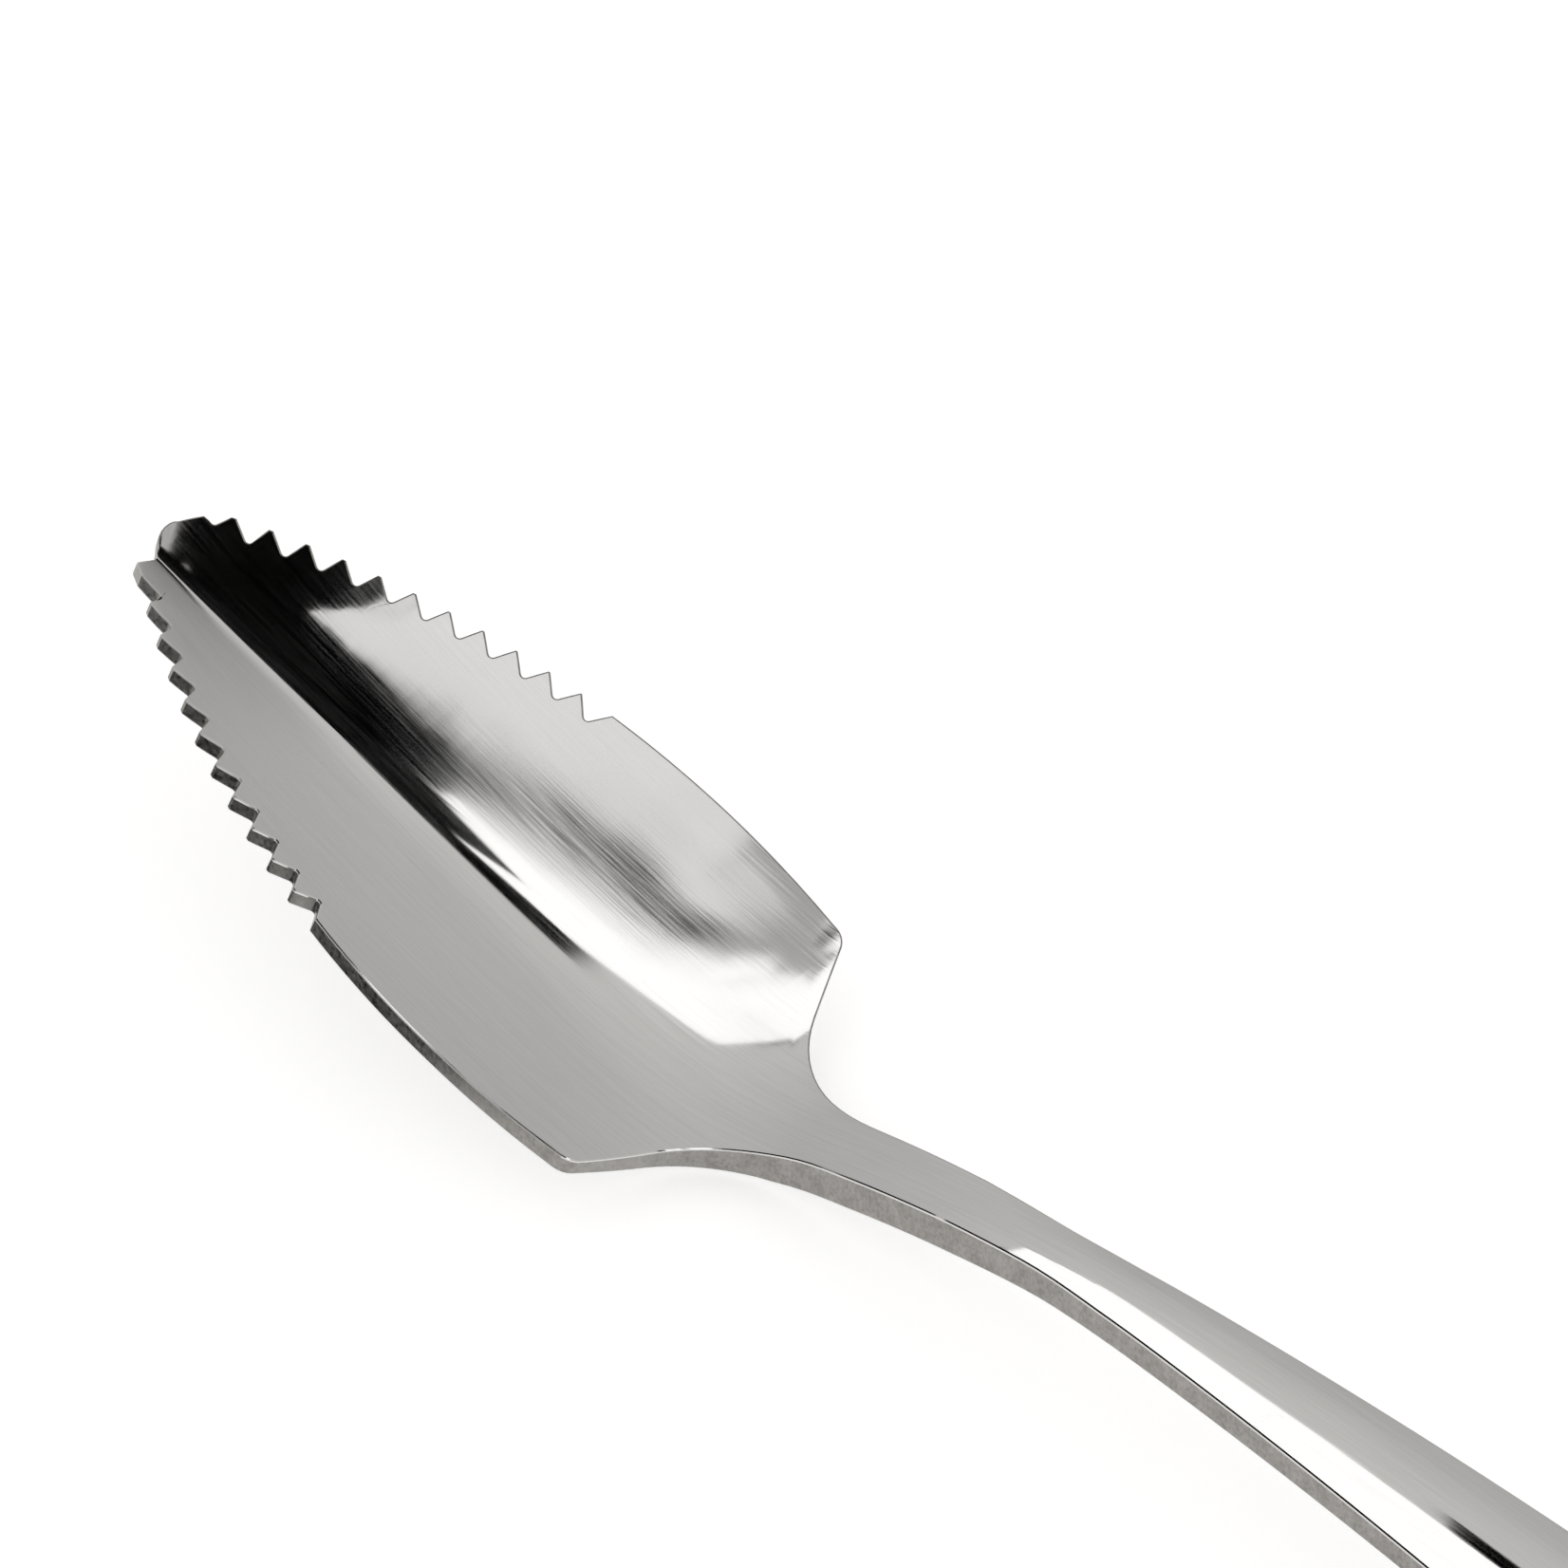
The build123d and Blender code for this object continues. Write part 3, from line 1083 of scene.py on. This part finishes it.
    def toothed_rows(self, rim: Rim) -> list[Row]:
        """Rows of the lobe at the tip and of the teeth.

        Args:
            rim: which rim.

        Returns:
            The rows, from the tip.
        """
        teeth, land = self.teeth[rim], self.counts.land + self.extra_rows(rim)
        rows: list[Row] = [partial(self.lobe_row, rim, index) for index in range(len(self.lobes[rim][0]))]
        rows += [partial(self.land_row, rim, share) for share in spread(0.0, 1.0, land)[1:]]
        for index in reversed(range(teeth.count)):
            rows += [partial(self.notch_row, rim, index, 1, step) for step in range(teeth.half_rows)]
            rows += [partial(self.notch_row, rim, index, -1, step) for step in reversed(range(teeth.half_rows - 1))]
        return rows

    def rear_points(self, rim: Rim, level: float) -> list[Vector]:
        """Outline of the plain rim, the shoulder, the rear edge and the root of the neck.

        Args:
            rim: which rim.
            level: height over the level keel.

        Returns:
            The points, from the last notch.
        """
        plan, handle, counts = self.plan, self.handle, self.counts
        last = self.notch_angle(rim, 0) - self.teeth[rim].spacing / 2 / plan.rim_radius
        root, rear = plan.root(), Vector((tan(plan.rear_lean), -1.0)).normalized()
        grown = self.lean_out(rim, plan.shoulder_at, level)
        shoulder = Vector((plan.shoulder_at - grown * tan(plan.rear_lean), plan.half_width(plan.shoulder_at) + grown))
        rim_turn = plan.rim_angle(plan.shoulder_at)
        neck_start = Vector((self.side.at(handle.start)[0].x, handle.neck_width / 2))
        turn = rounded(shoulder, Vector((sin(rim_turn), -cos(rim_turn))), rear, plan.shoulder_radius, counts.shoulder)
        fillet = rounded(root, rear, (neck_start - root).normalized(), plan.root_radius, counts.root)
        along = spread(plan.rim_point(last).x, turn[0].x, counts.rim)[1:]
        across = spread(0.0, 1.0, counts.rear_edge)[1:]
        return ([self.rim_spot(rim, x, level) for x in along] + turn
                + [turn[-1].lerp(fillet[0], share) for share in across] + fillet)

    def rear_rows(self, rim: Rim) -> list[Row]:
        """Rows from the plain rim to the root of the neck."""
        lowest, highest = (self.rear_points(rim, level) for level in self.levels)
        return [partial(self.ruled_row, low, high) for low, high in zip(lowest, highest)]

    def handle_rows(self, from_x: float) -> list[Row]:
        """Rows of the neck and the handle with its rounded end.

        Args:
            from_x: plan X of the last row before them.

        Returns:
            The rows, from the neck.
        """
        handle, counts = self.handle, self.counts
        cap = handle.end - handle.end_bulge
        stations = spread(from_x, handle.start, counts.neck)[1:] + spread(handle.start, cap, counts.handle)
        points = [Vector((station, handle.half_width(station))) for station in stations]
        cap_half = handle.half_width(cap)
        radius = (cap_half**2 + handle.end_bulge**2) / (2 * handle.end_bulge)
        widest = pi - asin(cap_half / radius) if handle.end_bulge > radius else asin(cap_half / radius)
        for angle in spread(widest, 0.0, counts.end):
            points.append(Vector((handle.end - radius + radius * cos(angle), radius * sin(angle))))
        return [partial(self.upright_row, point) for point in points]

    def outline(self, rim: Rim) -> list[Row]:
        """Rows along one rim, from the tip to the end of the handle."""
        front, rear = self.toothed_rows(rim), self.rear_rows(rim)
        return front + rear + self.handle_rows(rear[-1](0.0).edge.x)

    def keel_stations(self) -> list[float]:
        """Places of the rows on the keel.

        Returns:
            The station of each row, always growing towards the handle.
        """
        near, far = self.rows[Rim.NEAR], self.rows[Rim.FAR]
        middle = [(one.plain.x + other.plain.x) / 2 for one, other in zip(near, far)]
        keel = [max(x, self.plan.tip_notch_at + self.least_step * index) for index, x in enumerate(middle)]
        last = len(keel) - self.counts.back - 1
        first = last + 1 - self.counts.rear + self.counts.fan
        way = [0.0]
        for one, other in zip(near[first:last], near[first + 1:last + 1]):
            way.append(way[-1] + (other.plain - one.plain).length)
        for index, length in enumerate(way):
            keel[first + index] = blend(middle[first], middle[last], length / way[-1])
        cap = len(keel) - self.counts.end
        for index in range(self.counts.end):
            keel[cap + index] = blend(middle[cap], self.handle.end, index / (self.counts.end - 1))
        return keel

    def edge_spot(self, rim: Rim, row: int, surface: Surface) -> Vector:
        """Developed place where the leaning edge of a row meets a surface.

        Args:
            rim: which rim.
            row: row of the mesh, from the tip.
            surface: the upper or the lower surface.

        Returns:
            Its station and its distance across.
        """
        spot = self.rows[rim][row].edge
        for _ in range(self.edge_rounds):
            level = surface(Vector((spot.x, spot.y * rim.value))).z
            spot = self.outlines[rim][row](level).edge
        return spot

    def place(self, row: int, column: int, surface: Surface) -> Vector:
        """Developed place of a mesh point.

        Args:
            row: row of the mesh, from the tip.
            column: column of the mesh, from the keel.
            surface: the upper or the lower surface.

        Returns:
            Its station and its distance across.
        """
        rim = Rim.FAR if column >= 0 else Rim.NEAR
        if abs(column) == len(self.columns):
            spot = self.edge_spot(rim, row, surface)
        else:
            station, keel = self.rows[rim][row], Vector((self.keel[row], 0.0))
            span = (station.plain - keel).length
            band = min(self.rim_band, span * self.rim_band_most)
            spot = keel.lerp(station.plain, self.columns[abs(column)] * (1.0 - band / span))
        return Vector((spot.x, spot.y * rim.value))

    def top(self, spot: Vector) -> Vector:
        """Point of the upper surface.

        Args:
            spot: developed place, as station and distance across.

        Returns:
            The point over the level keel.
        """
        if spot.x <= self.side.bend_at:
            rise = self.trough.rise(spot.x, spot.y) if spot.x < self.side.heel_to else 0.0
            return Vector((spot.x, spot.y, self.side.height(spot.x) + rise))
        middle, up = self.side.at(spot.x)
        return middle + Vector((0.0, spot.y, 0.0)) - up * self.handle.crown(spot.x, spot.y)

    def underside(self, spot: Vector) -> Vector:
        """Point of the lower surface.

        Args:
            spot: developed place, as station and distance across.

        Returns:
            The point over the level keel.
        """
        if spot.x > self.side.bend_at:
            middle, up = self.side.at(spot.x)
            return middle + Vector((0.0, spot.y, 0.0)) - up * self.handle.depth(spot.x)
        if spot.x <= self.side.heel_to:
            return self.top(spot) - Vector((0.0, 0.0, self.trough.thickness(spot.x, spot.y)))
        share = (spot.x - self.side.heel_to) / (self.side.bend_at - self.side.heel_to)
        slope, depth = self.side.neck_slope, self.handle.thickness
        x = spot.x + share * depth * sin(slope)
        return Vector((x, spot.y, self.side.height(x) - depth / cos(slope)))

    def build(self) -> bpy.types.Object:
        """Press the blank out of a flat grid.

        Returns:
            The spoon as one closed mesh, lying at rest in the row frame.
        """
        count, reach = len(self.keel), len(self.columns)
        metal = bmesh.new()
        bmesh.ops.create_grid(metal, x_segments=count - 1, y_segments=2 * reach, size=1.0)
        raised = bmesh.ops.extrude_face_region(metal, geom=metal.faces[:])["geom"]
        bmesh.ops.translate(metal, verts=[part for part in raised if isinstance(part, bmesh.types.BMVert)],
                            vec=(0.0, 0.0, 1.0))
        metal.normal_update()
        for face in metal.faces:
            face.material_index = (Face.PRESSED if abs(face.normal.z) > 0.5 else Face.BLANKED).value
            face.smooth = True
        for corner in metal.verts:
            row = round((corner.co.x + 1.0) / 2.0 * (count - 1))
            column = round(corner.co.y * reach)
            surface = self.top if corner.co.z > 0.5 else self.underside
            corner.co = surface(self.place(row, column, surface))
        rest = Matrix.Translation(self.shift) @ Matrix.Rotation(self.tip_back, 4, "Y")
        bmesh.ops.transform(metal, matrix=Matrix.Scale(MM, 4) @ rest, verts=metal.verts[:])
        bmesh.ops.recalc_face_normals(metal, faces=metal.faces[:])
        self.break_edges(metal)
        return set_down("spoon_blank", metal)

    def break_edges(self, metal: bmesh.types.BMesh) -> None:
        """Round the sharp edges round the outline a little, polished on the near side and with the dark blanked
        finish on the far side as a painted dark outline, and mark what stays crisp.

        Args:
            metal: the pressed blank.
        """
        rims = [edge for edge in metal.edges if len({face.material_index for face in edge.link_faces}) == 2]
        made = bmesh.ops.bevel(metal, geom=rims, offset=self.edge_break * MM, offset_type="OFFSET", segments=2,
                               profile=0.5, affect="EDGES", clamp_overlap=False, material=-1)
        broken = set(made["faces"])
        for face in broken:
            # Near-side broken edges keep the polished steel; far-side ones get the dark blanked finish, a painted
            # dark outline along the far rim.
            polished_near_side = face.calc_center_median().y < 0.0
            face.material_index = (Face.PRESSED if polished_near_side else Face.BLANKED).value
            face.smooth = True
        for edge in metal.edges:
            border = len({face in broken for face in edge.link_faces}) == 2
            edge.smooth = not border and edge.calc_face_angle(0.0) < self.crease

    def dress(self, spoon: bpy.types.Object) -> None:
        """Give the spoon its finishes and tie it to the CAD frame.

        Args:
            spoon: the pressed spoon.
        """
        spoon.data.materials.append(PolishedSteel().material())
        spoon.data.materials.append(BlankedEdgeAndPaintedOutline().material())
        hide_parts("bowl", "neck", "handle")
        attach(spoon, "root")
        log.info("spoon_blank: %d faces in %d rows", len(spoon.data.polygons), len(self.keel))


@dataclass(frozen=True)
class PhotoView:
    """Camera at the photograph's viewing angle.

    Attributes:
        place: where it stands, in metres.
        forward: the direction in which it looks.
        roll: its turn about that direction.
        sensor: width of the sensor, in millimetres.
        focal_pixels: focal length in pixels of the photograph.
        frame_pixels: width of the photograph in pixels.
        clip_start: nearest distance that it sees.
    """

    place: Triple = (0.10370, -0.15755, 0.23574)
    forward: Triple = (-0.44270, 0.55, -0.70818)
    roll: float = radians(3.335)
    sensor: float = 36.0
    focal_pixels: float = 5000.0
    frame_pixels: float = 1652.0
    clip_start: float = 0.01

    def build(self) -> None:
        """Make the camera and hand the view to it."""
        data = bpy.data.cameras.new("photo_view")
        data.lens = self.sensor * self.focal_pixels / self.frame_pixels
        data.sensor_width = self.sensor
        data.clip_start = self.clip_start
        camera = bpy.data.objects.new("photo_view", data)
        camera.rotation_mode = "QUATERNION"
        camera.location = self.place
        turn = Vector(self.forward).to_track_quat("-Z", "Y").to_matrix() @ Matrix.Rotation(self.roll, 3, "Z")
        camera.rotation_quaternion = turn.to_quaternion()
        bpy.context.scene.collection.objects.link(camera)
        bpy.context.scene.camera = camera
        log.info("camera: lens %.1f mm", data.lens)


@dataclass(frozen=True)
class Panel:
    """A level soft box over the spoon, or a black card that only reflections see.

    Attributes:
        name: name of the panel.
        centre: its middle, in metres.
        size: its width and depth.
        spin: its turn about the upright axis.
        glow: how bright its face is, where 1 is white; a card has 0.
        back_gap: height of the card over the face of the lamp.
    """

    name: str
    centre: Triple
    size: Pair
    spin: float = 0.0
    glow: float = 0.0
    back_gap: float = 0.00005

    def build(self) -> None:
        """Make the card and, where the panel glows, the lamp in front of it."""
        self.card()
        if self.glow > 0.0:
            self.lamp()
        log.info("%s: %.3f x %.3f m, glow %.2f", self.name, *self.size, self.glow)

    def turn(self, lift: float) -> Matrix:
        """Place and turn of the panel, with its face along its own -Z."""
        return Matrix.Translation((*self.centre[:2], self.centre[2] + lift)) @ Matrix.Rotation(self.spin, 4, "Z")

    def veil(self, panel: bpy.types.Object) -> None:
        """Leave the lamp or the card to reflections only."""
        panel.visible_camera = False
        panel.visible_diffuse = False

    def card(self) -> None:
        """Make the black card, which is also the back of a lamp."""
        card = flat_sheet(f"{self.name}_card", self.size, self.turn(self.back_gap))
        nodes = FinishBench(f"{self.name}_card")
        card.data.materials.append(nodes.finish(nodes.add("ShaderNodeBsdfDiffuse", Color=(0.0, 0.0, 0.0, 1.0))))
        card.visible_shadow = False
        self.veil(card)

    def lamp(self) -> None:
        """Make the lamp, whose power gives its face the glow at any size."""
        data = bpy.data.lights.new(self.name, "AREA")
        data.shape = "RECTANGLE"
        data.size, data.size_y = self.size
        data.energy = self.glow * pi * self.size[0] * self.size[1]
        lamp = bpy.data.objects.new(self.name, data)
        lamp.matrix_world = self.turn(0.0)
        self.veil(lamp)
        bpy.context.scene.collection.objects.link(lamp)


@dataclass(frozen=True)
class Studio:
    """Pale floor, grey room that is brighter overhead, soft boxes and black cards.

    Attributes:
        room: brightness of the room low down and overhead.
        room_heights: heights of a direction between which it changes.
        room_colour: colour of the room.
        floor_size: width and depth of the floor, in metres.
        floor_colour: colour of the floor.
        floor_lift: what the lens and reflections see on top of the floor's own light.
        panels: the soft boxes and black cards.
    """

    room: Pair = (0.5, 0.74)
    room_heights: Pair = (0.1, 0.9)
    room_colour: Triple = (1.0, 0.99, 0.98)
    floor_size: Pair = (12.0, 12.0)
    floor_colour: Triple = (0.8, 0.8, 0.8)
    floor_lift: float = 0.53
    panels: tuple[Panel, ...] = (
        Panel("bowl_box", (-0.0506, 0.0202, 0.0977), (0.0503, 0.0230), -0.431, 1.5),
        Panel("handle_box", (-0.0058, 0.0047, 0.1195), (0.0745, 0.0619), 0.058, 1.5),
        Panel("wall_box", (-0.0391, -0.0230, 0.1182), (0.0154, 0.0458), -0.120, 1.0),
        Panel("point_box", (-0.0447, 0.0030, 0.0973), (0.0070, 0.0046), 0.35, 1.5),
        Panel("neck_box", (-0.0058, 0.0017, 0.0442), (0.0196, 0.0250), 1.422, 1.5),
        Panel("gap", (-0.0371, -0.0017, 0.1100), (0.0186, 0.0030), 0.078, 0.08),
        Panel("rear_gap", (-0.0348, 0.0065, 0.0499), (0.0035, 0.0051), -0.062, 0.5),
        Panel("left", (-0.0831, -0.0844, 0.1349), (0.0743, 0.1655), -0.01),
        Panel("camera_side", (-0.0361, -0.0920, 0.0930), (0.1084, 0.1078), 0.743),
        Panel("tip", (-0.0718, 0.0016, 0.0586), (0.0299, 0.0466), -0.098),
        Panel("front", (-0.0660, -0.0800, 0.0580), (0.0500, 0.0500)),
        Panel("fold", (-0.0545, 0.0035, 0.0604), (0.0052, 0.0090), 0.111),
        Panel("wedge", (-0.0249, 0.0077, 0.0394), (0.0035, 0.0122), 0.705),
        Panel("keel", (-0.0529, 0.0114, 0.0550), (0.0140, 0.0118), -0.899),
        Panel("right", (0.0567, 0.1024, 0.4431), (0.2089, 0.2797), 0.106),
        Panel("low_front", (-0.0615, -0.0240, 0.0010), (0.0570, 0.0150), -0.24),
    )

    def build(self) -> None:
        """Make the room, the floor and the panels."""
        self.walls()
        self.floor()
        for panel in self.panels:
            panel.build()

    def walls(self) -> None:
        """Make the grey room as the world's light."""
        world = bpy.data.worlds.new("grey_room")
        world.use_nodes = True
        nodes = ShaderBench(world.node_tree)
        way = nodes.add("ShaderNodeSeparateXYZ", Vector=nodes.add("ShaderNodeTexCoord").outputs["Generated"])
        light = world.node_tree.nodes["Background"]
        nodes.put(light.inputs["Color"], (*self.room_colour, 1.0))
        nodes.put(light.inputs["Strength"], nodes.remap(way.outputs["Z"], self.room_heights, self.room))
        bpy.context.scene.world = world
        log.info("grey_room: %.2f low down, %.2f overhead", *self.room)

    def floor(self) -> None:
        """Make the pale floor, which the lens, the steel and glass see as white."""
        floor = flat_sheet("pale_floor", self.floor_size, Matrix.Identity(4))
        nodes = FinishBench("pale_floor")
        ray = nodes.add("ShaderNodeLightPath")
        mirrored = nodes.join(Join.MOST, ray.outputs["Is Glossy Ray"], ray.outputs["Is Transmission Ray"])
        seen = nodes.join(Join.MOST, ray.outputs["Is Camera Ray"], mirrored)
        matt = nodes.add("ShaderNodeBsdfDiffuse", Color=(*self.floor_colour, 1.0))
        lift = nodes.add("ShaderNodeEmission", Color=(1.0, 1.0, 1.0, 1.0),
                         Strength=nodes.join(Join.PRODUCT, seen, self.floor_lift))
        both = nodes.add("ShaderNodeAddShader")
        for socket, shader in zip(both.inputs, (matt, lift)):
            nodes.put(socket, shader.outputs[0])
        floor.data.materials.append(nodes.finish(both))
        log.info("pale_floor: %.0f x %.0f m", *self.floor_size)


def main() -> None:
    logging.basicConfig(level=logging.INFO, format="%(name)s %(message)s")
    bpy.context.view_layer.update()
    blank = SpoonBlank()
    blank.dress(blank.build())
    PhotoView().build()
    Studio().build()
    bpy.context.scene.view_settings.view_transform = "Standard"


if __name__ == "__main__":
    main()
